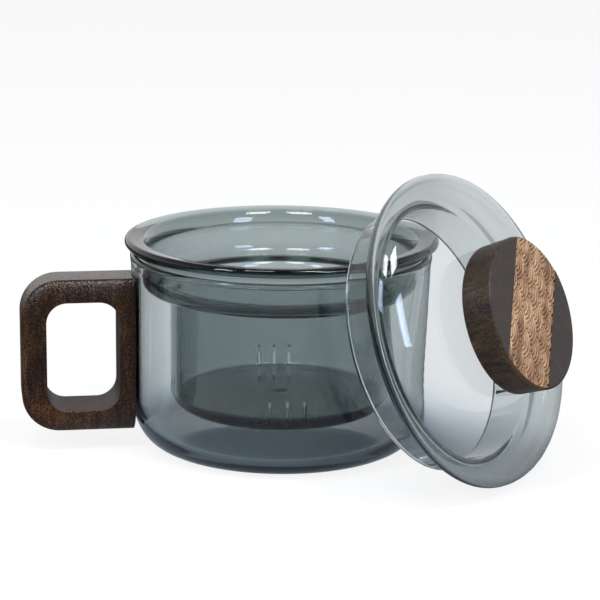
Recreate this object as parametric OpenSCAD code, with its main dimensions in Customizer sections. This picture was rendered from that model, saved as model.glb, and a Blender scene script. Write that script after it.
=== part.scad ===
// Smoked glass tea mug with a glass infuser, a wooden handle and a glass lid with a wooden knob.
// Millimetres, +Z up. The origin is the centre of the mug's flat base, on its axis.
// The infuser hangs in the mug, and the lid stands on its edge and leans on the infuser's flange.

/* [Mug] */
// Outer diameter of the mug's straight wall
mug_d = 96; // [92:1:104]
// Height of the mug's own rim above the table
mug_h = 62.3; // [58:0.1:68]
// Thickness of the mug's wall
mug_wall = 2.4; // [2:0.1:2.8]
// Thickness of the mug's floor
mug_floor = 4; // [3:0.1:6]
// Diameter of the flat base that the mug stands on
foot_d = 75.6; // [68:0.1:80]
// Height of the rounded corner between base and wall
foot_curve_h = 15.6; // [12:0.1:20]
// How far the rim flares out past the wall
rim_flare = 0.3; // [0:0.1:0.6]
// Height of the flared stretch under the rim
rim_flare_h = 4; // [3:0.5:6]

/* [Infuser] */
// Height of the infuser from its bottom to the top of its flange
infuser_h = 55.5; // [52:0.5:60]
// Thickness of the infuser's wall
infuser_wall = 2.4; // [2:0.1:2.8]
// Thickness of the infuser's floor
infuser_floor = 4.2; // [2.4:0.1:5]
// Outer diameter of the infuser's narrow lower part
basket_d = 71; // [64:1:78]
// Depth from the top of the flange to the underside of the shoulder
shoulder_depth = 17; // [14:0.5:20]
// Thickness of the shoulder
shoulder_t = 1.9; // [1.8:0.1:2.6]
// Outer radius of the shoulder's corner
shoulder_r = 4.5; // [2.8:0.1:5.5]
// Inner radius of the shoulder's corner
shoulder_in_r = 4.2; // [1:0.1:4.5]
// Radius of the hollow corner where the shoulder meets the lower part
waist_r = 1.5; // [1:0.1:2.5]
// Radius of the rounded edge on the inside of that corner
waist_in_r = 3.9; // [2.5:0.1:4.2]
// Outer radius of the infuser's bottom corner
basket_corner_r = 6.5; // [5:0.1:9]
// Inner radius of the infuser's bottom corner
basket_in_r = 1.6; // [1:0.1:4]
// How far the flange reaches past the mug's rim
flange_overhang = 1.7; // [1:0.1:3]
// Thickness of the flange's round lip
flange_t = 2.8; // [2.6:0.1:3.4]
// Slope of the flange's underside above the horizontal, in degrees
flange_slope = 38.8; // [34:0.1:42]
// Radius of the bend between the infuser's upper wall and the flange's underside
flange_bend_r = 2.8; // [2:0.1:4]
// Slope of the flange's upper face above the horizontal, in degrees
flange_top_slope = 8.6; // [3:0.1:12]
// Radius of the flange's inner edge
flange_edge_r = 2; // [1.4:0.1:2.4]
// Radius of the flare from the bore up to the flange's inner edge
mouth_r = 8.3; // [4:0.1:10]
// How far the flare turns before it meets that edge, in degrees
mouth_flare = 39; // [30:1:45]
// Radial gap between the infuser's upper wall and the mug's wall
neck_gap = 1.2; // [0.8:0.1:1.6]
// Gap between the flange's underside and the mug's rim
seat_gap = 0.15; // [0.1:0.05:0.3]

/* [Slits] */
// Groups of slits round the infuser
slit_groups = 4; // [2:1:6]
// Slits in each group
slits_per_group = 3; // [1:1:5]
// Width of a slit
slit_w = 1; // [0.8:0.1:2]
// Radius of the grinding disc that cuts a slit
slit_disc_r = 5.8; // [5:0.1:7]
// How far outside the wall the disc's centre stays
slit_disc_out = 2.7; // [2:0.1:3]
// Height of the disc's centre above the infuser's bottom
slit_rise = 5.5; // [5:0.1:9]
// Distance between neighbouring slits, round the wall
slit_pitch = 5.5; // [4:0.1:7]
// Turn of the groups about the mug's axis, in degrees
slit_turn = 4; // [-30:1:30]

/* [Handle] */
// Reach of the handle past the mug's wall
handle_reach = 35.6; // [32:0.1:42]
// Width of the handle across the hand
handle_w = 18; // [14:0.5:22]
// Height of the handle's lowest edge above the table
handle_bottom = 6.6; // [5:0.1:9]
// Height of the handle's highest edge above the table
handle_top = 55.7; // [52:0.1:57]
// Thickness of the handle's upright grip
grip_t = 8.1; // [7:0.1:10]
// Thickness of the handle's upper arm
upper_arm_t = 6.9; // [6:0.1:9]
// Thickness of the handle's lower arm
lower_arm_t = 7; // [6:0.1:9]
// Thickness of the handle's saddle, from the mug's wall to the window
saddle_t = 4.5; // [3.8:0.1:6]
// Radius of the handle's two outer corners
handle_corner_r = 12; // [9:0.5:14]
// Radius of the window's corners
window_corner_r = 6.5; // [4:0.5:8]
// Rounding along the handle's outer edges
handle_edge_r = 4.5; // [3:0.1:5]
// Turn of the handle towards the front, in degrees
handle_turn = 9; // [0:1:20]
// Thickness of the glue between the handle's saddle and the mug
handle_glue_t = 0.4; // [0.3:0.05:0.6]
// Width of the glue pad, round the wall
handle_glue_w = 15; // [10:0.5:16]

/* [Lid] */
// How far the lid's rolled edge stays inside the edge of the flange that it closes
edge_inset = 1; // [0:0.1:2]
// Thickness of the lid's glass
lid_wall = 2.4; // [2:0.1:2.8]
// Outer radius of the rolled edge
edge_r = 4.5; // [4:0.1:6]
// Height of the flat crown above the middle of the rolled edge
crown_h = 13.4; // [11:0.1:18]
// Diameter of the flat crown that carries the knob
crown_d = 24; // [16:1:30]
// How steeply the dome leaves the rolled edge
dome_rise = 9.8; // [7:0.1:11]
// Radius at which the dome turns level
dome_level_r = 27.5; // [24:0.5:34]
// Depth of the collar below the middle of the rolled edge
collar_depth = 15.8; // [13:0.1:18]
// Narrowing of the collar's radius from its fold to its end
collar_taper = 0.5; // [0.2:0.1:1]
// Outer radius of the fold between the rolled edge and the collar
fold_r = 1; // [0.8:0.1:1.6]
// Radial gap between the collar and the infuser's bore when the lid is on
collar_gap = 0.7; // [0.4:0.1:1.2]

/* [Knob] */
// Diameter of the knob's face
knob_d = 47.5; // [40:0.5:52]
// Diameter of the knob's back
knob_back_d = 46; // [38:0.5:50]
// Thickness of the knob
knob_t = 10.4; // [8:0.1:14]
// Width of the small bevels round the knob
knob_bevel = 0.8; // [0.4:0.1:1.2]
// Width of the carved strip across the knob
inlay_w = 22; // [14:0.5:26]
// Thickness of the carved strip
inlay_t = 1.6; // [1:0.1:2.4]
// Turn of the strip about the lid's axis, in degrees
inlay_turn = -39; // [-90:1:90]
// Gap between the strip and the sides of its channel
inlay_gap = 0.05; // [0.02:0.01:0.1]
// Thickness of the glue under the knob
knob_glue_t = 0.3; // [0.2:0.05:0.5]

/* [Leaning lid] */
// Angle of the lid's axis above the table, in degrees
lean_tilt = 21.1; // [16:0.1:25]
// Direction in which the lid's axis points, from +X, in degrees
lean_turn = -32.3; // [-60:0.1:-10]
// Gap between the lid's collar and the infuser's flange where the lid leans
lean_gap = 0.3; // [0.2:0.05:0.8]

/* [Hidden] */
$fn = 128;
arc_steps = 8;   // straight pieces in a quarter turn of a glass outline
dome_steps = 14; // straight pieces in the dome's curve
edge_steps = 5;  // slices in the rounding of the handle's edges
end_step = 15;   // degrees between the points round the end of the lid's collar
corner_sides = 64; // sides of a full circle at the handle's outer corners

mug_r = mug_d / 2;
foot_r = foot_d / 2;
rim_r = mug_r + rim_flare - mug_wall / 2; // middle of the wall at the mug's rim
rim_z = mug_h - mug_wall / 2;

// The flange's sloping underside rests on the mug's round rim
seat_off = mug_wall / 2 + seat_gap + flange_t / 2;
lip_r = mug_r + rim_flare + flange_overhang - flange_t / 2;
function flange_z(r) = rim_z + seat_off * cos(flange_slope)
    + (r - rim_r + seat_off * sin(flange_slope)) * tan(flange_slope);
flange_top = flange_z(lip_r) + flange_t / 2;
neck_r = mug_r - mug_wall - neck_gap; // outside of the infuser's upper wall
bore_r = neck_r - infuser_wall;
basket_r = basket_d / 2;
basket_z = flange_top - infuser_h;
shoulder_z = flange_top - shoulder_depth;

flange_r = lip_r + flange_t / 2;
ring_r = flange_r - edge_inset - edge_r; // centre of the rolled edge
collar_r = bore_r - collar_gap - lid_wall / 2; // middle of the collar's wall
knob_z = crown_h + knob_glue_t;

// The lid stands on its edge. The round end of its collar meets the flange's round lip at two
// points, one on each side, and the lid stands off there along the normal that the two share.
lid_z = ring_r * cos(lean_tilt) + edge_r;
end_r = collar_r - collar_taper;
end_depth = collar_depth - lid_wall / 2;
contact_up = (flange_z(lip_r) - lid_z + end_depth * sin(lean_tilt)) / cos(lean_tilt);
contact_side = sqrt(max(0, pow(end_r, 2) - pow(contact_up, 2)));
contact_in = sqrt(pow(lip_r, 2) - pow(contact_side, 2));
lip_way = [-contact_side, contact_in, 0];
end_way = [contact_side * sin(lean_tilt), contact_up, -contact_side * cos(lean_tilt)];
shared = cross(lip_way, end_way) / norm(cross(lip_way, end_way));
lean_reach = end_depth * cos(lean_tilt) + contact_up * sin(lean_tilt) + contact_in
    + (flange_t / 2 + lid_wall / 2 + lean_gap) / abs(shared[0]);

window_in = mug_r + saddle_t;
window_out = mug_r + handle_reach - grip_t;
window_low = handle_bottom + lower_arm_t;
window_high = handle_top - upper_arm_t;

// Points along an arc of an ellipse, from angle a0 to angle a1
function arc(c, rx, rz, a0, a1, n = arc_steps) =
    [for (i = [0:n]) let (a = a0 + (a1 - a0) * i / n) [c[0] + rx * cos(a), c[1] + rz * sin(a)]];

// A point on a cubic curve with the control points p
function curve(p, t) = pow(1 - t, 3) * p[0] + 3 * t * pow(1 - t, 2) * p[1]
    + 3 * t * t * (1 - t) * p[2] + pow(t, 3) * p[3];

// Direction of a path at point i, and the unit vector to its left
function heading(p, i) = p[min(i + 1, len(p) - 1)] - p[max(i - 1, 0)];
function left_of(p, i) = let (d = heading(p, i)) [-d[1], d[0]] / norm(d);

// Outline of a wall that follows the path p, closed on the axis and with a round lip at its end.
// Each path point is [r, z, thickness].
function wall_outline(path) =
    let (p = [for (q = path) [q[0], q[1]]], n = len(p) - 1, lip = path[n][2] / 2, d = heading(p, n),
         turn = atan2(d[1], d[0]))
    concat([for (i = [0:n]) p[i] - left_of(p, i) * path[i][2] / 2],
           [for (a = [end_step - 90:end_step:90 - end_step]) p[n] + lip * [cos(turn + a), sin(turn + a)]],
           [for (i = [n:-1:0]) p[i] + left_of(p, i) * path[i][2] / 2]);

function thick(points, t) = [for (q = points) [q[0], q[1], t]];

module turned(outline) {
    rotate_extrude() polygon(outline);
}

module glass() {
    color([0.36, 0.42, 0.44, 0.45]) children();
}

module mug_body() {
    rim = mug_wall / 2;
    outside = concat([[0, 0]], arc([foot_r, foot_curve_h], mug_r - foot_r, foot_curve_h, -90, 0),
        [[mug_r, mug_h - rim_flare_h]]);
    lip = arc([rim_r, rim_z], rim, rim, 0, 180);
    inside = concat([[mug_r - mug_wall, mug_h - rim_flare_h]],
        arc([foot_r, foot_curve_h], mug_r - mug_wall - foot_r, foot_curve_h - mug_floor, 0, -90),
        [[0, mug_floor]]);
    glass() turned(concat(outside, lip, inside));
}

// Outside of the infuser from the axis up to the flange's lip
function infuser_outside() =
    let (corner = basket_corner_r, bend_x = neck_r + flange_bend_r,
         bend_z = flange_z(bend_x) - (flange_t / 2 + flange_bend_r) / cos(flange_slope))
    concat([[0, basket_z]],
        arc([basket_r - corner, basket_z + corner], corner, corner, -90, 0),
        arc([basket_r + waist_r, shoulder_z - waist_r], waist_r, waist_r, 180, 90),
        arc([neck_r - shoulder_r, shoulder_z + shoulder_r], shoulder_r, shoulder_r, -90, 0),
        arc([bend_x, bend_z], flange_bend_r, flange_bend_r, 180, 90 + flange_slope));

// Inside of the infuser from the flange's upper face down to the axis
function infuser_inside() =
    let (edge_x = bore_r + mouth_r - (mouth_r - flange_edge_r) * cos(mouth_flare),
         edge_z = flange_z(lip_r) + (flange_t / 2 - flange_edge_r) / cos(flange_top_slope)
             - (lip_r - edge_x) * tan(flange_top_slope),
         mouth_z = edge_z - (mouth_r - flange_edge_r) * sin(mouth_flare), shelf = shoulder_z + shoulder_t,
         inner = basket_r - infuser_wall, floor_z = basket_z + infuser_floor)
    concat(
        arc([edge_x, edge_z], flange_edge_r, flange_edge_r, 90 + flange_top_slope, 180 - mouth_flare),
        arc([bore_r + mouth_r, mouth_z], mouth_r, mouth_r, 180 - mouth_flare, 180),
        arc([bore_r - shoulder_in_r, shelf + shoulder_in_r], shoulder_in_r, shoulder_in_r, 0, -90),
        arc([inner + waist_in_r, shelf - waist_in_r], waist_in_r, waist_in_r, 90, 180),
        arc([inner - basket_in_r, floor_z + basket_in_r], basket_in_r, basket_in_r, 0, -90),
        [[0, floor_z]]);

module slit() {
    translate([basket_r + slit_disc_out, slit_w / 2, basket_z + slit_rise])
        rotate([90, 0, 0]) cylinder(r = slit_disc_r, h = slit_w);
}

module infuser() {
    step = slit_pitch / basket_r * 180 / PI;
    lip = arc([lip_r, flange_z(lip_r)], flange_t / 2, flange_t / 2, flange_slope - 90, 90 + flange_top_slope);
    glass() difference() {
        turned(concat(infuser_outside(), lip, infuser_inside()));
        for (group = [0:slit_groups - 1], i = [0:slits_per_group - 1])
            rotate([0, 0, slit_turn + group * 360 / slit_groups + (i - (slits_per_group - 1) / 2) * step]) slit();
    }
}

// A slice of the handle's outline, drawn in by inset and half_w thick on each side
module handle_slice(inset, half_w) {
    r = handle_corner_r - inset;
    outer = mug_r + handle_reach - handle_corner_r;
    rotate([90, 0, 0]) translate([0, 0, -half_w]) linear_extrude(2 * half_w) {
        for (z = [handle_bottom + handle_corner_r, handle_top - handle_corner_r])
            translate([outer, z]) circle(r, $fn = corner_sides);
        translate([mug_r - saddle_t, handle_bottom + inset])
            square([outer - mug_r + saddle_t, handle_top - handle_bottom - 2 * inset]);
    }
}

module window() {
    rotate([90, 0, 0]) translate([0, 0, -handle_w]) linear_extrude(2 * handle_w) {
        translate([window_in + window_corner_r, window_low])
            square([window_out - window_in - 2 * window_corner_r, window_high - window_low]);
        translate([window_in, window_low + window_corner_r])
            square([window_out - window_in, window_high - window_low - 2 * window_corner_r]);
        for (x = [window_in + window_corner_r, window_out - window_corner_r],
             z = [window_low + window_corner_r, window_high - window_corner_r])
            translate([x, z]) circle(window_corner_r);
    }
}

module on_handle() {
    rotate([0, 0, 180 + handle_turn]) children();
}

module handle() {
    color([0.23, 0.14, 0.1]) on_handle() difference() {
        hull() for (i = [0:edge_steps])
            handle_slice(handle_edge_r * (1 - cos(90 * i / edge_steps)),
                         handle_w / 2 - handle_edge_r * (1 - sin(90 * i / edge_steps)));
        window();
        cylinder(r = mug_r + handle_glue_t, h = handle_top + 1);
    }
}

module handle_glue() {
    span = handle_glue_w / mug_r * 180 / PI;
    low = max(foot_curve_h, handle_bottom) + handle_glue_t;
    color([0.16, 0.13, 0.11]) on_handle() rotate([0, 0, -span / 2]) rotate_extrude(angle = span)
        translate([mug_r, low]) square([handle_glue_t, handle_top - handle_glue_t - low]);
}

module on_lid() {
    translate([lean_reach * cos(lean_turn), lean_reach * sin(lean_turn), lid_z])
        rotate([0, 90 - lean_tilt, lean_turn]) children();
}

// Middle of the lid's wall, from the crown out round the rolled edge and down the collar
function lid_path() =
    let (half = lid_wall / 2, roll = edge_r - half, fold = fold_r + half, top = crown_h - half,
         dome = [[crown_d / 2, top], [dome_level_r, top], [ring_r + roll, dome_rise], [ring_r + roll, 0]])
    concat([[0, top]], [for (i = [0:dome_steps - 1]) curve(dome, i / dome_steps)],
        arc([ring_r, 0], roll, roll, 0, -90),
        arc([collar_r + fold, -roll - fold], fold, fold, 90, 180),
        [[end_r, -end_depth]]);

module lid_glass() {
    glass() on_lid() turned(wall_outline(thick(lid_path(), lid_wall)));
}

module knob_blank() {
    r = knob_d / 2;
    back = knob_back_d / 2;
    turned([[0, 0], [back - knob_bevel, 0], [back, knob_bevel], [r, knob_t - knob_bevel],
            [r - knob_bevel, knob_t], [0, knob_t]]);
}

// The channel across the knob's face, w wide, from the depth d up
module channel(w, d) {
    rotate([0, 0, inlay_turn]) translate([-knob_d, -w / 2, knob_t - d]) cube([2 * knob_d, w, 2 * d]);
}

module lid_knob() {
    color([0.24, 0.17, 0.15]) on_lid() translate([0, 0, knob_z]) difference() {
        knob_blank();
        channel(inlay_w, inlay_t);
    }
}

module knob_inlay() {
    color([0.56, 0.4, 0.3]) on_lid() translate([0, 0, knob_z]) intersection() {
        knob_blank();
        channel(inlay_w - 2 * inlay_gap, inlay_t);
    }
}

module knob_glue() {
    color([0.5, 0.48, 0.42]) on_lid() translate([0, 0, crown_h]) cylinder(d = crown_d, h = knob_glue_t);
}

mug_body();
infuser();
handle();
handle_glue();
lid_glass();
lid_knob();
knob_inlay();
knob_glue();
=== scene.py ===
# Smoked glass tea mug with a glass infuser, a wooden handle and a leaning glass lid, dressed for a studio.
# Sections are drawn in millimetres, the frame is in metres, +Z is up and the mug's axis is the Z axis.
from math import atan2, ceil, cos, degrees, hypot, pi, radians, sin, sqrt, tan

import bmesh
import bpy
from mathutils import Matrix, Vector
from mathutils.geometry import interpolate_bezier


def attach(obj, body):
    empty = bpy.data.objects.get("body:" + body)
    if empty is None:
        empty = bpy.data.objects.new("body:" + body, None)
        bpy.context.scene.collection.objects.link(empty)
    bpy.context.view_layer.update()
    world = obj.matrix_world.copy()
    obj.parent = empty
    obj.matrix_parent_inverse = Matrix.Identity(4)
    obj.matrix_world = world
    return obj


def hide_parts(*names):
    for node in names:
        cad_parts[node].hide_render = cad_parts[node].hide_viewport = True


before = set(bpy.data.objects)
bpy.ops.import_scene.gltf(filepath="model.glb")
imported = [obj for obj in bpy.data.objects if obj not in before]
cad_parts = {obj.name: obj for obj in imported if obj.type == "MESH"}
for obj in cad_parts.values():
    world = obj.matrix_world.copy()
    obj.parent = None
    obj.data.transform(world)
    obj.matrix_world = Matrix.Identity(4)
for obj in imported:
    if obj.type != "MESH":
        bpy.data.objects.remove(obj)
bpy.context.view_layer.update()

mm = 0.001
weld = 0.0005      # vertices this close, in millimetres, are one
glassSteps = 256   # flat pieces round the axis of every glass piece


# Draws half a cross-section in the XZ plane, in millimetres, from a start point and strokes:
# ("to", x, z) goes straight, ("round", cx, cz, degrees, stretch) turns about a centre, stretched upright by
# the last number if there is one, and ("bend", x1, z1, x2, z2, x, z) follows a cubic with those handles.
def drawSection(start, strokes, stepAngle=7.5, guard=0.5, bendPoints=26):
    bm = bmesh.new()
    tip = bm.verts.new((start[0], 0, start[1]))

    def extend(point):
        grown = bmesh.ops.extrude_vert_indiv(bm, verts=[tip])["verts"][0]
        grown.co = point
        return grown

    for kind, *values in strokes:
        if kind == "to":
            begin, end = tip.co.copy(), Vector((values[0], 0, values[1]))
            way = end - begin
            if way.length > 3 * guard:  # a vertex close to each end keeps the shading of flat stretches flat
                tip = extend(begin + way.normalized() * guard)
                tip = extend(end - way.normalized() * guard)
            tip = extend(end)
        elif kind == "bend":
            handles = [Vector((values[i], 0, values[i + 1])) for i in (0, 2, 4)]
            for point in interpolate_bezier(tip.co, *handles, bendPoints)[1:]:
                tip = extend(point)
        else:
            centre, angle = Vector((values[0], 0, values[1])), values[2]
            stretch = Matrix.Diagonal((1, 1, values[3] if len(values) > 3 else 1))
            flat = [tip]
            tip.co = centre + stretch.inverted() @ (tip.co - centre)
            first = len(bm.verts)
            swept = bmesh.ops.spin(bm, geom=[tip], cent=centre, axis=(0, -1, 0), angle=radians(angle),
                                   steps=max(3, ceil(abs(angle) / stepAngle)))
            bm.verts.ensure_lookup_table()
            flat += bm.verts[first:]
            tip = next(v for v in swept["geom_last"] if isinstance(v, bmesh.types.BMVert))
            for vert in flat:
                vert.co = centre + stretch @ (vert.co - centre)
    return bm


# Turns a section once round the Z axis into a closed shape
def turnOnLathe(bm, steps):
    bmesh.ops.spin(bm, geom=bm.verts[:] + bm.edges[:], cent=(0, 0, 0), axis=(0, 0, 1), angle=2 * pi,
                   steps=steps, use_merge=True)
    bmesh.ops.remove_doubles(bm, verts=bm.verts, dist=weld)
    bmesh.ops.recalc_face_normals(bm, faces=bm.faces)
    return bm


# Makes an object of a bmesh drawn in millimetres
def makePiece(bm, name, place=Matrix.Identity(4), smooth=True):
    bm.transform(Matrix.Scale(mm, 4) @ place)
    for face in bm.faces:
        face.smooth = smooth
    mesh = bpy.data.meshes.new(name)
    bm.to_mesh(mesh)
    bm.free()
    piece = bpy.data.objects.new(name, mesh)
    bpy.context.scene.collection.objects.link(piece)
    return piece


# Cuts one piece's shape out of another and throws the cutter away
def cutOut(piece, cutter):
    cut = piece.modifiers.new("cut", "BOOLEAN")
    cut.object = cutter
    cut.solver = "EXACT"
    settle(piece)
    bpy.data.objects.remove(cutter)


# Applies every modifier of a piece
def settle(piece):
    bpy.context.view_layer.update()
    evaluated = piece.evaluated_get(bpy.context.evaluated_depsgraph_get())
    mesh = bpy.data.meshes.new_from_object(evaluated)
    piece.modifiers.clear()
    piece.data = mesh


# Gives a piece its material and its body, and hides the CAD nodes that it stands for
def fit(piece, material, body, slotName, *nodes):
    piece.data.materials.clear()
    piece.data.materials.append(material)
    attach(piece, body)
    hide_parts(*nodes)
    print("piece", piece.name, len(piece.data.polygons), "faces on", body)


# An sRGB hex colour as the linear values that nodes take
def colour(hexText):
    parts = [int(hexText[i:i + 2], 16) / 255 for i in (1, 3, 5)]
    return [c / 12.92 if c <= 0.04045 else ((c + 0.055) / 1.055) ** 2.4 for c in parts] + [1]


# Adds a node: sockets maps an input to a value or to another node's output, the rest are its own settings
def addNode(tree, kind, sockets=(), **settings):
    node = tree.nodes.new("ShaderNode" + kind)
    for name, value in settings.items():
        setattr(node, name, value)
    for name, value in dict(sockets).items():
        if isinstance(value, bpy.types.NodeSocket):
            tree.links.new(value, node.inputs[name])
        else:
            node.inputs[name].default_value = value
    return node


# Gives a colour ramp its stops, each a position and a colour
def setStops(ramp, *stops):
    ramp.color_ramp.elements[0].position = stops[0][0]
    ramp.color_ramp.elements[1].position = stops[-1][0]
    for position, _ in stops[1:-1]:
        ramp.color_ramp.elements.new(position)
    for element, (_, shade) in zip(ramp.color_ramp.elements, stops):
        element.color = shade
    return ramp


def newMaterial(name):
    material = bpy.data.materials.new(name)
    material.use_nodes = True
    material.node_tree.nodes.clear()
    return material, material.node_tree


glassLook = {
    "ior": 1.48,                      # borosilicate glass
    "tint": "#8aa2a6",                # what passes: green and blue more than red
    "infuserTint": "#8aa3a3",         # a touch greener
    "mugDensity": 165, "lidDensity": 150, "infuserDensity": 358,  # how strongly each absorbs, per metre
    "groundRoughness": 0.5,           # the slits' faces stay matt from the grinding disc
    "sharpAngle": 30,                 # degrees; steeper folds show as an edge
}


# Smoked borosilicate glass, blown and fire-polished: clear grey, sharp white reflections, near-black edges
def smokedGlass(name, density, tint=glassLook["tint"]):
    material, tree = newMaterial(name)
    ground = addNode(tree, "Attribute", attribute_name="ground")
    rough = addNode(tree, "Math", {0: ground.outputs["Fac"], 1: glassLook["groundRoughness"]},
                    operation="MULTIPLY")
    surface = addNode(tree, "BsdfPrincipled", {"Base Color": (1, 1, 1, 1), "Roughness": rough.outputs[0],
                                               "IOR": glassLook["ior"], "Transmission Weight": 1.0})
    inside = addNode(tree, "VolumeAbsorption", {"Color": colour(tint), "Density": density})
    addNode(tree, "OutputMaterial", {"Surface": surface.outputs[0], "Volume": inside.outputs[0]})
    return material


woodLook = {
    "tones": ("#120b06", "#27170d", "#54361c"),  # stained walnut, from pore to flame
    "stops": (0.4, 0.5, 0.62),                   # where on the mixed figure each tone stands
    "figureWidth": 7 * mm, "figureShare": 0.35,  # the slow change of tone across the grain
    "lineWidth": 0.9 * mm, "lineShare": 0.2,     # thin lines along the grain
    "fleckWidth": 0.5 * mm, "fleckShare": 0.45,  # broken pores and flecks
    "grain": (1, 1, 5),                          # the figure is about five times as long as wide
    "ior": 1.5, "specular": 0.36,                # lacquer, with its mirror held down by the open pores
    "roughness": 0.25, "thinRoughness": 0.8,     # under full lacquer, and where it is thin
    "thinTone": "#2f2117",                       # the wood's mean tone where the lacquer is thin
    "peelWidth": 0.5 * mm, "peelHeight": 0.13 * mm,  # the lacquer's orange peel, which breaks up the sheen
    "sharpAngle": 30,                            # degrees; steeper folds show as an edge
}


# Stained walnut under satin lacquer: dark brown with fine orange flecks and a broken, sparkling sheen
def stainedWood(name, place, tones, roughness, thinTone):
    material, tree = newMaterial(name)
    where = addNode(tree, "TexCoord")
    along = addNode(tree, "Mapping", {"Vector": where.outputs["Object"], "Location": place.translation * mm,
                                      "Rotation": place.to_euler(), "Scale": woodLook["grain"]},
                    vector_type="TEXTURE")
    figure = addNode(tree, "TexNoise", {"Vector": along.outputs[0], "Scale": 1 / woodLook["figureWidth"],
                                        "Detail": 5.0, "Roughness": 0.6, "Distortion": 0.8})
    lines = addNode(tree, "TexNoise", {"Vector": along.outputs[0], "Scale": 1 / woodLook["lineWidth"],
                                       "Detail": 2.0, "Roughness": 0.6})
    flecks = addNode(tree, "TexNoise", {"Vector": where.outputs["Object"], "Detail": 2.0, "Roughness": 0.7,
                                        "Scale": 1 / woodLook["fleckWidth"]})
    mixed = addNode(tree, "Math", {0: figure.outputs["Fac"], 1: woodLook["figureShare"]},
                    operation="MULTIPLY")
    for layer, share in ((lines, "lineShare"), (flecks, "fleckShare")):
        mixed = addNode(tree, "Math", {0: layer.outputs["Fac"], 1: woodLook[share], 2: mixed.outputs[0]},
                        operation="MULTIPLY_ADD")
    tone = setStops(addNode(tree, "ValToRGB", {"Fac": mixed.outputs[0]}),
                    *zip(woodLook["stops"], [colour(tone) for tone in tones]))
    thin = addNode(tree, "Attribute", attribute_name="thinLacquer")
    tone = addNode(tree, "Mix", {"Factor": thin.outputs["Fac"], "A": tone.outputs[0], "B": colour(thinTone)},
                   data_type="RGBA")
    shine = addNode(tree, "MapRange", {"Value": thin.outputs["Fac"], "To Min": roughness,
                                       "To Max": woodLook["thinRoughness"]})
    peel = addNode(tree, "TexNoise", {"Vector": where.outputs["Object"], "Scale": 1 / woodLook["peelWidth"],
                                      "Detail": 0.0})
    relief = addNode(tree, "Bump", {"Height": peel.outputs["Fac"], "Strength": 1.0,
                                    "Distance": woodLook["peelHeight"]})
    surface = addNode(tree, "BsdfPrincipled", {"Base Color": tone.outputs["Result"],
                                               "Roughness": shine.outputs[0], "Normal": relief.outputs[0],
                                               "IOR": woodLook["ior"],
                                               "Specular IOR Level": woodLook["specular"]})
    addNode(tree, "OutputMaterial", {"Surface": surface.outputs[0]})
    return material


mug = {
    "radius": 48, "wall": 2.4, "floor": 4,
    "footRadius": 37.8, "curveHeight": 15.6,  # the flat underside, and how high the round corner reaches
    "rimCentre": (47.1, 61.1), "rimRadius": 1.2, "flareStart": 58.3,  # the fire-polished rim
}


def buildMug():
    inner = mug["radius"] - mug["wall"]
    foot, curve, rim = mug["footRadius"], mug["curveHeight"], mug["rimCentre"]
    outer, hollow = mug["radius"] - foot, inner - foot
    bm = drawSection((0, 0), [
        ("to", foot, 0),
        ("round", foot, curve, 90, curve / outer),
        ("to", mug["radius"], mug["flareStart"]),
        ("to", rim[0] + mug["rimRadius"], rim[1]),
        ("round", rim[0], rim[1], 180),
        ("to", inner, mug["flareStart"]),
        ("to", inner, curve),
        ("round", foot, curve, -90, (curve - mug["floor"]) / hollow),
        ("to", 0, mug["floor"]),
    ])
    piece = makePiece(turnOnLathe(bm, glassSteps), "mugGlass")
    fit(piece, smokedGlass("smokedGlassMug", glassLook["mugDensity"]), "mug", "smoked_glass", "mug_body")


infuser = {
    "bottom": 11.73, "floor": 4.2, "wall": 2.4,   # it hangs clear of the mug's floor
    "basketRadius": 35.5, "cornerRadius": 6.5, "insideCorner": 1.6,
    "neckRadius": 44.4, "shoulder": 50.23, "waistRadius": 1.5, "shoulderRadius": 4.5,
    "shelf": 52.13, "hollowRadius": 4.2, "shelfRadius": 3.9,  # the shoulder's inside: height, hollow, edge
    "bendRadius": 2.8, "slope": 38.8,             # from the neck out to the flange, seen from below
    "lipCentre": (48.6, 65.83), "lipRadius": 1.4,
    "topSlope": 8.6, "edgeRadius": 2,             # the flange's upper face and its inner edge
    "mouthRadius": 8.3, "mouthTurn": 39,          # the flare from the bore up to that edge
    "slitWidth": 1, "discRadius": 5.8, "discCentre": (38.2, 17.23),  # a small upright disc grinds each slit
    "discSteps": 64,
    "slitTurn": 4, "slitStep": 8.88, "slitGroups": 4,  # degrees, and groups of three
    "groundReach": 0.02,                          # slack in finding the ground faces
    "markRadius": 2.2, "markDepth": 0.45,         # the glassblower's mark in the middle of the floor,
    "markRim": 3.52, "markSide": 1.76,            # a dimple with a soft rim
}


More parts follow.
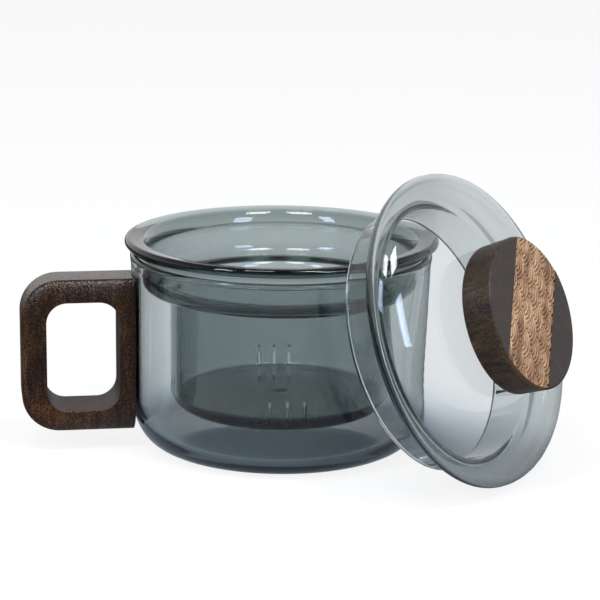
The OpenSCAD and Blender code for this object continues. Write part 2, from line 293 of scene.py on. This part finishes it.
def buildInfuser():
    low, wall, radius = infuser["bottom"], infuser["wall"], infuser["basketRadius"]
    corner, waist, shoulder = infuser["cornerRadius"], infuser["waistRadius"], infuser["shoulderRadius"]
    neck, under = infuser["neckRadius"], infuser["shoulder"]
    lip, lipRadius = infuser["lipCentre"], infuser["lipRadius"]
    inside, mouth, bend = infuser["insideCorner"], infuser["mouthRadius"], infuser["bendRadius"]
    mark, deep = infuser["markRadius"], infuser["markDepth"]
    shelf, hollow, shelfEdge = infuser["shelf"], infuser["hollowRadius"], infuser["shelfRadius"]
    slope, topSlope = radians(infuser["slope"]), radians(infuser["topSlope"])
    turn = radians(infuser["mouthTurn"])
    floorTop, bore, edgeRadius = low + infuser["floor"], neck - wall, infuser["edgeRadius"]
    slitTop = infuser["discCentre"][1] + infuser["discRadius"]
    bendX = neck + bend
    bendCentre = (bendX, lip[1] + (bendX - lip[0]) * tan(slope) - (lipRadius + bend) / cos(slope))
    edgeX = bore + mouth - (mouth - edgeRadius) * cos(turn)
    edge = (edgeX, lip[1] + (lipRadius - edgeRadius) / cos(topSlope) - (lip[0] - edgeX) * tan(topSlope))
    bm = drawSection((0, low), [
        ("to", radius - corner, low),
        ("round", radius - corner, low + corner, 90),
        ("to", radius, slitTop),
        ("to", radius, under - waist),
        ("round", radius + waist, under - waist, -90),
        ("to", neck - shoulder, under),
        ("round", neck - shoulder, under + shoulder, 90),
        ("to", neck, bendCentre[1]),
        ("round", bendCentre[0], bendCentre[1], -90 + infuser["slope"]),
        ("to", lip[0] + lipRadius * sin(slope), lip[1] - lipRadius * cos(slope)),
        ("round", lip[0], lip[1], 180 - infuser["slope"] + infuser["topSlope"]),
        ("to", edge[0] - edgeRadius * sin(topSlope), edge[1] + edgeRadius * cos(topSlope)),
        ("round", edge[0], edge[1], 90 - infuser["topSlope"] - infuser["mouthTurn"]),
        ("round", bore + mouth, edge[1] - (mouth - edgeRadius) * sin(turn), infuser["mouthTurn"]),
        ("to", bore, shelf + hollow),
        ("round", bore - hollow, shelf + hollow, -90),
        ("to", radius - wall + shelfEdge, shelf),
        ("round", radius - wall + shelfEdge, shelf - shelfEdge, 90),
        ("to", radius - wall, slitTop),
        ("to", radius - wall, floorTop + inside),
        ("round", radius - wall - inside, floorTop + inside, -90),
        ("to", infuser["markRim"], floorTop),
        ("bend", mark, floorTop, infuser["markSide"], floorTop - deep, 0, floorTop - deep),
    ])
    piece = makePiece(turnOnLathe(bm, glassSteps), "infuserGlass")
    discX, discZ = infuser["discCentre"]
    discRadius, slitWidth, slitStep = infuser["discRadius"], infuser["slitWidth"], infuser["slitStep"]
    groupStep, reach = 360 / infuser["slitGroups"], infuser["groundReach"]
    slits = bmesh.new()
    for group in range(infuser["slitGroups"]):
        for i in (-1, 0, 1):
            turn = radians(infuser["slitTurn"] + groupStep * group + i * slitStep)
            place = (Matrix.Rotation(turn, 4, "Z") @ Matrix.Translation((discX, 0, discZ))
                     @ Matrix.Rotation(pi / 2, 4, "X"))
            bmesh.ops.create_cone(slits, cap_ends=True, segments=infuser["discSteps"], radius1=discRadius,
                                  radius2=discRadius, depth=slitWidth, matrix=place)
    cutOut(piece, makePiece(slits, "slitCutter"))
    ground = piece.data.attributes.new("ground", "FLOAT", "FACE")
    for face in piece.data.polygons:
        spot = face.center / mm
        out = hypot(spot.x, spot.y)
        angle = (degrees(atan2(spot.y, spot.x)) - infuser["slitTurn"] + slitStep * 1.5) % groupStep
        aside = radians(abs(angle % slitStep - slitStep / 2)) * out
        inSlit = aside < slitWidth / 2 + reach and hypot(out - discX, spot.z - discZ) < discRadius + reach
        ground.data[face.index].value = inSlit and angle < 3 * slitStep
    piece.data.set_sharp_from_angle(angle=radians(glassLook["sharpAngle"]))
    glass = smokedGlass("smokedGlassInfuser", glassLook["infuserDensity"], glassLook["infuserTint"])
    fit(piece, glass, "infuser", "smoked_glass", "infuser")


lid = {
    "wall": 2.4,                              # the section below runs through the middle of the wall
    "crown": 12.2, "crownRadius": 12,         # the flat seat under the knob
    "levelRadius": 27.5, "domeRise": 9.8,     # how far the dome stays level, and how steeply it comes down
    "rollCentre": 44.5, "rollRadius": 3.26,   # the rolled edge
    "foldCentre": (42.3, -5.5), "collarEnd": (39.6, -15.8),  # the fold back in, and down to the collar's end
    "polishShare": 0.47, "polishSteps": 6, "polishAngle": 60,  # rounds the collar's cut end
    "place": (56.724, -35.8595, 46.0164), "tilt": 68.9, "turn": -32.3,  # where it leans on the flange
}
onLid = (Matrix.Translation(lid["place"]) @ Matrix.Rotation(radians(lid["turn"]), 4, "Z")
         @ Matrix.Rotation(radians(lid["tilt"]), 4, "Y"))


def buildLid():
    edge = lid["rollCentre"] + lid["rollRadius"]
    bm = drawSection((0, lid["crown"]), [
        ("to", lid["crownRadius"], lid["crown"]),
        ("bend", lid["levelRadius"], lid["crown"], edge, lid["domeRise"], edge, 0),
        ("round", lid["rollCentre"], 0, -90),
        ("to", lid["foldCentre"][0], -lid["rollRadius"]),
        ("round", lid["foldCentre"][0], lid["foldCentre"][1], 90),
        ("to", *lid["collarEnd"]),
    ])
    piece = makePiece(turnOnLathe(bm, glassSteps), "lidGlass", onLid)
    wall = piece.modifiers.new("wall", "SOLIDIFY")
    wall.thickness, wall.offset = lid["wall"] * mm, 0
    wall.use_even_offset = wall.use_quality_normals = True
    polish = piece.modifiers.new("firePolish", "BEVEL")
    polish.width, polish.segments = lid["polishShare"] * lid["wall"] * mm, lid["polishSteps"]
    polish.limit_method, polish.angle_limit = "ANGLE", radians(lid["polishAngle"])
    fit(piece, smokedGlass("smokedGlassLid", glassLook["lidDensity"]), "lid", "smoked_glass", "lid_glass")


handle = {
    "turn": 189,                              # degrees round the mug
    "inner": 43, "outer": 83.35, "low": 6.6, "high": 55.7, "width": 18,
    "saddleRadius": 48.4, "saddleSteps": 360, "saddleLength": 200,  # the hollow that lies against the mug
    "cornerRadius": 12, "cornerSteps": 14,
    "edgeRadius": 6, "edgeSteps": 14, "edgeProfile": 0.41,  # flat like facets
    "squeeze": 0.5,                           # the edges reach twice as far over the faces as over the top
    "window": (52.5, 75.5, 13.6, 48.8),       # the grip opening: west, east, low, high
    "windowRadius": 6.5, "windowSteps": 10, "windowEdge": 0.5, "windowEdgeSteps": 3,
    "windowThin": 0.5,                        # thin lacquer inside the opening
    "softWidth": 0.7, "softSteps": 3, "softAngle": 50,  # sanded edge of the saddle
}


# A rounded rectangle in the XZ plane as a ring of vertices, drawn by bevelling the corners of four vertices
def roundedRing(bm, west, east, low, high, radii, segments):
    corners = [bm.verts.new((x, 0, z)) for x, z in ((west, low), (east, low), (east, high), (west, high))]
    for i in range(4):
        bm.edges.new((corners[i], corners[(i + 1) % 4]))
    for corner, radius in zip(corners, radii):
        if radius:
            bmesh.ops.bevel(bm, geom=[corner], offset=radius, offset_type="OFFSET", segments=segments,
                            profile=0.5, affect="VERTICES", material=-1)


def buildHandle():
    onHandle = Matrix.Rotation(radians(handle["turn"]), 4, "Z")
    bm = bmesh.new()
    west, east, low, high = handle["window"]
    slack = 0.1  # for telling where a point lies
    outer, inner, edge = handle["cornerRadius"], handle["windowRadius"], handle["edgeRadius"]
    drawnWidth = handle["width"] / handle["squeeze"]
    roundedRing(bm, handle["inner"], handle["outer"], handle["low"], handle["high"], (0, outer, outer, 0),
                handle["cornerSteps"])
    roundedRing(bm, west, east, low, high, (inner,) * 4, handle["windowSteps"])
    bmesh.ops.triangle_fill(bm, use_beauty=True, use_dissolve=True, edges=bm.edges)
    bmesh.ops.translate(bm, verts=bm.verts, vec=(0, -drawnWidth / 2, 0))
    grown = bmesh.ops.extrude_face_region(bm, geom=bm.faces[:])["geom"]
    bmesh.ops.translate(bm, verts=[g for g in grown if isinstance(g, bmesh.types.BMVert)],
                        vec=(0, drawnWidth, 0))
    bmesh.ops.recalc_face_normals(bm, faces=bm.faces)

    # The edges of the front and back faces that isRim picks
    def rimEdges(isRim):
        square = [e for e in bm.edges if len(e.link_faces) == 2 and abs(e.calc_face_angle() - pi / 2) < slack]
        return [e for e in square if abs(e.verts[0].co.y - e.verts[1].co.y) < slack
                and isRim((e.verts[0].co + e.verts[1].co) / 2)]

    def inWindow(p):
        return west - slack < p.x < east + slack and low - slack < p.z < high + slack

    bmesh.ops.bevel(bm, geom=rimEdges(lambda p: not inWindow(p) and p.x > handle["inner"] + slack),
                    offset=edge, offset_type="OFFSET", segments=handle["edgeSteps"],
                    profile=handle["edgeProfile"], affect="EDGES", clamp_overlap=True, material=-1)
    bmesh.ops.bevel(bm, geom=rimEdges(inWindow), offset=handle["windowEdge"], offset_type="OFFSET",
                    segments=handle["windowEdgeSteps"], profile=0.5, affect="EDGES", clamp_overlap=True,
                    material=-1)
    bmesh.ops.scale(bm, verts=bm.verts, vec=(1, handle["squeeze"], 1))
    thin = bm.faces.layers.float.new("thinLacquer")
    for face in bm.faces:
        face.normal_update()
        isInner = inWindow(face.calc_center_median()) and abs(face.normal.y) < slack
        face[thin] = handle["windowThin"] * isInner
    piece = makePiece(bm, "handleWood", onHandle)
    saddle = bmesh.new()
    bmesh.ops.create_cone(saddle, cap_ends=True, segments=handle["saddleSteps"], depth=handle["saddleLength"],
                          radius1=handle["saddleRadius"], radius2=handle["saddleRadius"])
    cutOut(piece, makePiece(saddle, "saddleCutter"))
    soften = piece.modifiers.new("soften", "BEVEL")
    soften.width, soften.segments = handle["softWidth"] * mm, handle["softSteps"]
    soften.limit_method, soften.angle_limit = "ANGLE", radians(handle["softAngle"])
    even = piece.modifiers.new("evenShading", "WEIGHTED_NORMAL")
    even.keep_sharp = True
    wood = stainedWood("stainedWalnutHandle", onHandle, woodLook["tones"], woodLook["roughness"],
                       woodLook["thinTone"])
    fit(piece, wood, "mug", "dark_wood", "handle")


knob = {
    "radius": 23.52, "backRadius": 23, "thick": 10.4, "steps": 192,
    "bevel": 0.65, "bevelEase": 0.4, "draft": 0.05,  # rounded edges on a side that widens to the front
    "seat": 13.7,                                # where its back lies on the lid's axis
    "stripWidth": 21.9, "stripDepth": 1.6, "stripTurn": -39, "channelWidth": 22,  # the strip and its channel
    "tones": ("#1a120d", "#2e2319", "#513f2b"),  # greyer than the handle, and less polished
    "roughness": 0.42, "faceTone": "#403735",
    "faceThin": 0.7,                             # thin lacquer on the flat face
}
onKnob = onLid @ Matrix.Translation((0, 0, knob["seat"]))
onStrip = onKnob @ Matrix.Rotation(radians(knob["stripTurn"]), 4, "Z")


def buildKnob():
    back, radius, thick, bevel = knob["backRadius"], knob["radius"], knob["thick"], knob["bevel"]
    ease = bevel * knob["bevelEase"]
    bm = drawSection((0, 0), [
        ("to", back - bevel, 0),
        ("bend", back - ease, 0, back, ease, back + knob["draft"], bevel),
        ("to", radius, thick - bevel),
        ("bend", radius, thick - ease, radius - ease, thick, radius - bevel, thick),
        ("to", 0, thick),
    ])
    turnOnLathe(bm, knob["steps"])
    thin = bm.faces.layers.float.new("thinLacquer")
    for face in bm.faces:
        face.normal_update()
        face[thin] = knob["faceThin"] * (face.normal.z > 0.999)
    piece = makePiece(bm, "knobWood", onStrip)
    channel = bmesh.new()
    size = Matrix.Diagonal((3 * radius, knob["channelWidth"], 2 * knob["stripDepth"], 1))
    bmesh.ops.create_cube(channel, size=1, matrix=Matrix.Translation((0, 0, thick)) @ size)
    cutOut(piece, makePiece(channel, "channelCutter", onStrip))
    piece.data.set_sharp_from_angle(angle=radians(woodLook["sharpAngle"]))
    even = piece.modifiers.new("evenShading", "WEIGHTED_NORMAL")
    even.keep_sharp = True
    wood = stainedWood("stainedWalnutKnob", onStrip, knob["tones"], knob["roughness"], knob["faceTone"])
    fit(piece, wood, "lid", "dark_wood", "lid_knob")


waves = {
    "radius": 6.0, "rings": 5, "ringStep": 1.22,     # overlapping fans of arcs
    "grooveWidth": 0.66, "depth": 0.45, "wallCurve": 0.6,  # below one, the groove's walls stand steeper
    "cells": (232, 108),                             # of the strip's face, along and across
    "inset": 0.03, "chamfer": 0.95, "edgeDepth": 0.2,  # its ends follow the knob's rounded edge
    "floorGap": 0.02,                                # it lies just clear of the channel's floor
    "tones": ("#7d5433", "#b08560", "#cfa67c"),      # the ridges' light wood
    "stops": (0.36, 0.5, 0.62),
    "figureWidth": 3 * mm, "grain": (5, 1, 1),
    "grimeTone": "#6e4626", "grimeWidth": 6 * mm, "grimeFrom": 0.48, "grimeTo": 0.68, "grimeMost": 0.75,
    "grooveTone": "#33200f", "grooveShare": 0.9,     # burnt grooves
    "roughness": 0.5, "ior": 1.5,
}


# How far point (u, w) on the strip lies from the middle of the fan that shows there, front rows first
def fanDistance(u, w):
    radius = waves["radius"]
    row = ceil((w - radius) / (radius / 2))
    while True:
        side = radius * (row % 2)
        middle = round((u - side) / (2 * radius)) * 2 * radius + side
        away = hypot(u - middle, w - row * radius / 2)
        if away <= radius:
            return away
        row += 1


# How deep the carving is at point (u, w), from 0 to 1
def grooveAt(u, w):
    away = waves["radius"] - fanDistance(u, w)
    if away > waves["ringStep"] * (waves["rings"] - 0.5):
        return 0.0
    off = abs(away - round(away / waves["ringStep"]) * waves["ringStep"])
    return max(0.0, 1 - off / (waves["grooveWidth"] / 2)) ** waves["wallCurve"]


# Lighter wood, engraved with overlapping wave fans: tan ridges between dark burnt grooves
def carvedWood():
    material, tree = newMaterial("engravedLightWood")
    where = addNode(tree, "TexCoord")
    along = addNode(tree, "Mapping", {"Vector": where.outputs["Object"], "Scale": waves["grain"],
                                      "Location": onStrip.translation * mm, "Rotation": onStrip.to_euler()},
                    vector_type="TEXTURE")
    figure = addNode(tree, "TexNoise", {"Vector": along.outputs[0], "Scale": 1 / waves["figureWidth"],
                                        "Detail": 4.0, "Roughness": 0.65, "Distortion": 0.4})
    tone = setStops(addNode(tree, "ValToRGB", {"Fac": figure.outputs["Fac"]}),
                    *zip(waves["stops"], [colour(tone) for tone in waves["tones"]]))
    grime = addNode(tree, "TexNoise", {"Vector": where.outputs["Object"], "Scale": 1 / waves["grimeWidth"],
                                       "Detail": 6.0, "Roughness": 0.75})
    grime = addNode(tree, "MapRange", {"Value": grime.outputs["Fac"], "From Min": waves["grimeFrom"],
                                       "From Max": waves["grimeTo"], "To Max": waves["grimeMost"]})
    soiled = addNode(tree, "Mix", {"Factor": grime.outputs[0], "A": tone.outputs[0],
                                   "B": colour(waves["grimeTone"])}, data_type="RGBA")
    carve = addNode(tree, "Attribute", attribute_name="carve")
    deep = addNode(tree, "Math", {0: carve.outputs["Fac"], 1: waves["grooveShare"]}, operation="MULTIPLY")
    burnt = addNode(tree, "Mix", {"Factor": deep.outputs[0], "A": soiled.outputs["Result"],
                                  "B": colour(waves["grooveTone"])}, data_type="RGBA")
    surface = addNode(tree, "BsdfPrincipled", {"Base Color": burnt.outputs["Result"],
                                               "Roughness": waves["roughness"], "IOR": waves["ior"]})
    addNode(tree, "OutputMaterial", {"Surface": surface.outputs[0]})
    return material


def buildStrip():
    bm = bmesh.new()
    columns, rows = waves["cells"]
    bmesh.ops.create_grid(bm, x_segments=columns, y_segments=rows, size=1)
    carve = bm.verts.layers.float.new("carve")
    half, radius, thick, bevel = knob["stripWidth"] / 2, knob["radius"], knob["thick"], knob["bevel"]
    for vert in bm.verts:
        w = vert.co.y * half
        u = vert.co.x * sqrt((radius - waves["inset"]) ** 2 - w * w)
        away = hypot(u, w) - (radius - bevel)
        vert[carve] = grooveAt(u, w) if away < 0 else 1.0
        sunk = waves["depth"] * (vert[carve] if away < 0 else waves["edgeDepth"])
        vert.co = (u, w, thick - sunk - max(0.0, away) * waves["chamfer"])
    border = [e for e in bm.edges if e.is_boundary]
    grown = bmesh.ops.extrude_edge_only(bm, edges=border)["geom"]
    skirt = [g for g in grown if isinstance(g, bmesh.types.BMVert)]
    for vert in skirt:
        vert.co.z = thick - knob["stripDepth"] + waves["floorGap"]
        vert[carve] = 1.0
    bmesh.ops.contextual_create(bm, geom=[e for e in bm.edges if e.is_boundary])
    bmesh.ops.recalc_face_normals(bm, faces=bm.faces)
    piece = makePiece(bm, "knobStrip", onStrip)
    fit(piece, carvedWood(), "lid", "carved_wood", "knob_inlay")


glue = {
    "radius": 48, "thick": 0.4, "low": 16, "high": 55.3, "width": 15, "steps": 24,  # under the handle
    "discRadius": 12, "discZ": 13.4, "discSteps": 96,  # under the knob, on the lid's axis
    "bite": 0.04,                                      # wets the glass, with no air between
    "tones": ("#17100c", "#2a1d16"), "stops": (0.35, 0.65), "cloudWidth": 4 * mm,  # brown where it wets wood
    "roughness": 0.3, "ior": 1.45,
}


# Cured clear adhesive: against the wood it shows as a wet, darker brown
def curedAdhesive():
    material, tree = newMaterial("curedAdhesive")
    where = addNode(tree, "TexCoord")
    cloud = addNode(tree, "TexNoise", {"Vector": where.outputs["Object"], "Scale": 1 / glue["cloudWidth"],
                                       "Detail": 3.0})
    tone = setStops(addNode(tree, "ValToRGB", {"Fac": cloud.outputs["Fac"]}),
                    *zip(glue["stops"], [colour(tone) for tone in glue["tones"]]))
    surface = addNode(tree, "BsdfPrincipled", {"Base Color": tone.outputs[0], "Roughness": glue["roughness"],
                                               "IOR": glue["ior"]})
    addNode(tree, "OutputMaterial", {"Surface": surface.outputs[0]})
    return material


def buildGlue():
    adhesive = curedAdhesive()
    bm = bmesh.new()
    inner, outer = glue["radius"] - glue["bite"], glue["radius"] + glue["thick"]
    corners = [bm.verts.new((x, 0, z)) for x, z in ((inner, glue["low"]), (outer, glue["low"]),
                                                    (outer, glue["high"]), (inner, glue["high"]))]
    face = bm.faces.new(corners)
    span = glue["width"] / glue["radius"]
    bmesh.ops.rotate(bm, verts=bm.verts, cent=(0, 0, 0), matrix=Matrix.Rotation(-span / 2, 3, "Z"))
    bmesh.ops.spin(bm, geom=[face], cent=(0, 0, 0), axis=(0, 0, 1), angle=span, steps=glue["steps"])
    bmesh.ops.recalc_face_normals(bm, faces=bm.faces)
    pad = makePiece(bm, "handleGlueBead", Matrix.Rotation(radians(handle["turn"]), 4, "Z"), smooth=False)
    fit(pad, adhesive, "mug", "clear_adhesive", "handle_glue")
    bm = drawSection((0, glue["discZ"] - glue["bite"]), [
        ("to", glue["discRadius"], glue["discZ"] - glue["bite"]),
        ("to", glue["discRadius"], knob["seat"]),
        ("to", 0, knob["seat"]),
    ])
    disc = makePiece(turnOnLathe(bm, glue["discSteps"]), "knobGlueDisc", onLid, smooth=False)
    fit(disc, adhesive, "lid", "clear_adhesive", "knob_glue")


studio = {
    "plainLevel": 0.45,                 # what the room gives to matt surfaces
    "roomFront": 0.2, "roomReach": (-0.8, 0.1),  # the dark side of the room, behind the camera, in mirrors
    "topLevel": 0.35, "topReach": (0.25, 0.75),  # the ceiling is dimmer than the walls
    "floorSize": 3000, "floorDrop": 0.15,  # millimetres
    "whiteShare": 0.86,                 # the floor's plain white to the eye, the rest takes the shadow
    "paintedShadowLevel": 0.18, "behindLevel": 0.85, "paintedShadowRadius": (0.03, 0.08),  # the floor through the glass, with painted shade: painted shadow under the mug, light behind it, with some real shadow painted shade in front of the mug and a painted shadow under the lid
    "throughPaper": 0.15,               # dim in the mug's shade, light behind it, with some real shadow
    "paintedFrontShade": 0.6, "frontReach": (-0.12, -0.03),  # and dimmer in front of the mug
    "paintedLidShadow": (0.066, -0.04, 0), "paintedLidShadowLevel": 0.5, "paintedLidShadowRadius": (0.02, 0.075),  # and under the lid
    "paintedShadeTone": "#cfe0f2", "paintedShadeRadius": (0.04, 0.1),  # painted bluish shade close to the glass, through glass and in mirrors
    "mirrorNear": 0.5, "mirrorLevel": 0.03, "mirrorRadius": (0.05, 0.09), "mirrorPaper": 0.1,  # in mirrors: painted bright near the mug, dark further out
    "boxDistance": 1.25,                # metres from the point that they face
    "boxes": (                          # softboxes: azimuth from the camera's side, elevation, and size
        {"azimuth": -46, "elevation": 38, "size": (0.22, 0.5), "radiance": 14, "tone": "#cfe2ff"},
        {"azimuth": 38, "elevation": 31, "size": (0.32, 0.5), "radiance": 12, "tone": "#cfe2ff"},
        {"azimuth": -25, "elevation": 64, "size": (0.3, 0.3), "radiance": 16, "tone": "#ffffff"},
        {"azimuth": 34, "elevation": 64, "size": (0.3, 0.3), "radiance": 16, "tone": "#ffffff"},
    ),
    "aim": (0.0, 0.0, 0.04),
}


# Runs smoothly from one level to another while a value goes from the first to the second number of a reach
def smoothRange(tree, value, reach, begin, end):
    levels = {"Value": value, "From Min": reach[0], "From Max": reach[1], "To Min": begin, "To Max": end}
    return addNode(tree, "MapRange", levels, interpolation_type="SMOOTHSTEP").outputs[0]


# Takes the second value for rays of one kind, the first for all others
def pickFor(tree, kind, others, these):
    return addNode(tree, "Mix", {"Factor": kind, "A": others, "B": these}, data_type="FLOAT").outputs[0]


def multiply(tree, first, second):
    return addNode(tree, "Math", {0: first, 1: second}, operation="MULTIPLY").outputs[0]


# White paper: plain white to the eye with a soft shadow, and painted light and shade through glass and in
# mirrors
def whitePaper():
    material, tree = newMaterial("whitePaperFloor")
    path = addNode(tree, "LightPath").outputs
    where = addNode(tree, "TexCoord").outputs["Object"]
    away = addNode(tree, "VectorMath", {0: where}, operation="LENGTH").outputs["Value"]
    aside = addNode(tree, "VectorMath", {0: where, 1: studio["paintedLidShadow"]}, operation="DISTANCE")
    aside = aside.outputs["Value"]
    depth = addNode(tree, "SeparateXYZ", {"Vector": where}).outputs["Y"]
    # Painted shadow: through glass the floor is darker under the mug, in front of it and under the lid
    through = smoothRange(tree, away, studio["paintedShadowRadius"], studio["paintedShadowLevel"], studio["behindLevel"])
    front = smoothRange(tree, depth, studio["frontReach"], studio["paintedFrontShade"], 1.0)
    dim = smoothRange(tree, aside, studio["paintedLidShadowRadius"], studio["paintedLidShadowLevel"], 1.0)
    through = multiply(tree, multiply(tree, through, front), dim)
    # Painted reflection: in mirrors the floor is bright near the mug and dark further out
    mirror = smoothRange(tree, away, studio["mirrorRadius"], studio["mirrorNear"], studio["mirrorLevel"])
    glow = pickFor(tree, path["Is Camera Ray"], 0.0, studio["whiteShare"])
    glow = pickFor(tree, path["Is Glossy Ray"], glow, mirror)
    glow = pickFor(tree, path["Is Transmission Ray"], glow, through)
    rest = pickFor(tree, path["Is Camera Ray"], 1.0, 1 - studio["whiteShare"])
    rest = pickFor(tree, path["Is Glossy Ray"], rest, studio["mirrorPaper"])
    rest = pickFor(tree, path["Is Transmission Ray"], rest, studio["throughPaper"])
    # Painted bluish shade on the floor near the glass, seen through glass and in mirrors
    near = pickFor(tree, path["Is Camera Ray"], smoothRange(tree, away, studio["paintedShadeRadius"], 1.0, 0.0), 0.0)
    cool = addNode(tree, "Mix", {"Factor": near, "A": (1, 1, 1, 1), "B": colour(studio["paintedShadeTone"])},
                   data_type="RGBA")
    paper = addNode(tree, "BsdfDiffuse", {"Color": rest})
    white = addNode(tree, "Emission", {"Color": cool.outputs["Result"], "Strength": glow})
    both = addNode(tree, "AddShader", {0: paper.outputs[0], 1: white.outputs[0]})
    addNode(tree, "OutputMaterial", {"Surface": both.outputs[0]})
    return material


# The white room: bright walls, a dimmer ceiling and a dark side behind the camera
def whiteRoom():
    world = bpy.data.worlds.new("studioRoom")
    world.use_nodes = True
    tree = world.node_tree
    tree.nodes.clear()
    path = addNode(tree, "LightPath").outputs
    seen = addNode(tree, "Math", {0: path["Is Camera Ray"], 1: path["Is Glossy Ray"]}, operation="MAXIMUM")
    seen = addNode(tree, "Math", {0: seen.outputs[0], 1: path["Is Transmission Ray"]}, operation="MAXIMUM")
    where = addNode(tree, "TexCoord").outputs["Generated"]
    way = addNode(tree, "SeparateXYZ", {"Vector": where}).outputs
    level = multiply(tree, smoothRange(tree, way["Z"], studio["topReach"], 1.0, studio["topLevel"]),
                     smoothRange(tree, way["Y"], studio["roomReach"], studio["roomFront"], 1.0))
    level = addNode(tree, "Math", {0: level, 1: path["Is Camera Ray"]}, operation="MAXIMUM").outputs[0]
    level = pickFor(tree, seen.outputs[0], studio["plainLevel"], level)
    room = addNode(tree, "Background", {"Color": (1, 1, 1, 1), "Strength": level})
    addNode(tree, "OutputWorld", {"Surface": room.outputs[0]})
    return world


def buildStudio():
    scene = bpy.context.scene
    scene.view_settings.view_transform = "Standard"
    scene.cycles.max_bounces = scene.cycles.transmission_bounces = 40  # many glass walls, one behind another
    scene.cycles.glossy_bounces = 12
    scene.world = whiteRoom()

    bm = bmesh.new()
    bmesh.ops.create_grid(bm, x_segments=8, y_segments=8, size=studio["floorSize"])
    bmesh.ops.translate(bm, verts=bm.verts, vec=(0, 0, -studio["floorDrop"]))
    ground = makePiece(bm, "studioFloor")
    ground.data.materials.append(whitePaper())

    aim = Vector(studio["aim"])
    for i, box in enumerate(studio["boxes"]):
        side, up = radians(box["azimuth"]), radians(box["elevation"])
        way = Vector((sin(side) * cos(up), -cos(side) * cos(up), sin(up)))
        lamp = bpy.data.lights.new("softbox%d" % (i + 1), "AREA")
        lamp.shape = "RECTANGLE"
        lamp.size, lamp.size_y = box["size"]
        lamp.energy = box["radiance"] * pi * lamp.size * lamp.size_y
        lamp.color = colour(box["tone"])[:3]
        holder = bpy.data.objects.new(lamp.name, lamp)
        facing = way.to_track_quat("Z", "Y").to_matrix().to_4x4()
        holder.matrix_world = Matrix.Translation(aim + way * studio["boxDistance"]) @ facing
        scene.collection.objects.link(holder)


camera = {
    "sensor": 36, "focal": 132,    # millimetres
    "target": (3.485, 0, 45.987), "distance": 707.25,
    "pitch": 0.240, "roll": 0.011, "shift": 0.0137,  # radians, and a share of the frame
    "clip": (0.01, 20),            # metres
}


def placeCamera():
    pitch, roll = camera["pitch"], camera["roll"]
    forward = Vector((0, cos(pitch), -sin(pitch)))
    up = Vector((0, sin(pitch), cos(pitch)))
    right = Vector((1, 0, 0))
    sideways = cos(roll) * right + sin(roll) * up
    upright = cos(roll) * up - sin(roll) * right
    spot = (Vector(camera["target"]) - forward * camera["distance"]) * mm
    view = bpy.data.cameras.new("studioCamera")
    view.lens, view.sensor_width, view.shift_x = camera["focal"], camera["sensor"], camera["shift"]
    view.clip_start, view.clip_end = camera["clip"]
    holder = bpy.data.objects.new("studioCamera", view)
    facing = Matrix((sideways, upright, -forward)).transposed().to_4x4()
    holder.matrix_world = Matrix.Translation(spot) @ facing
    bpy.context.scene.collection.objects.link(holder)
    bpy.context.scene.camera = holder


print("stage: glass")
buildMug()
buildInfuser()
buildLid()
print("stage: wood")
buildHandle()
buildKnob()
buildStrip()
print("stage: glue")
buildGlue()
print("stage: studio")
buildStudio()
placeCamera()
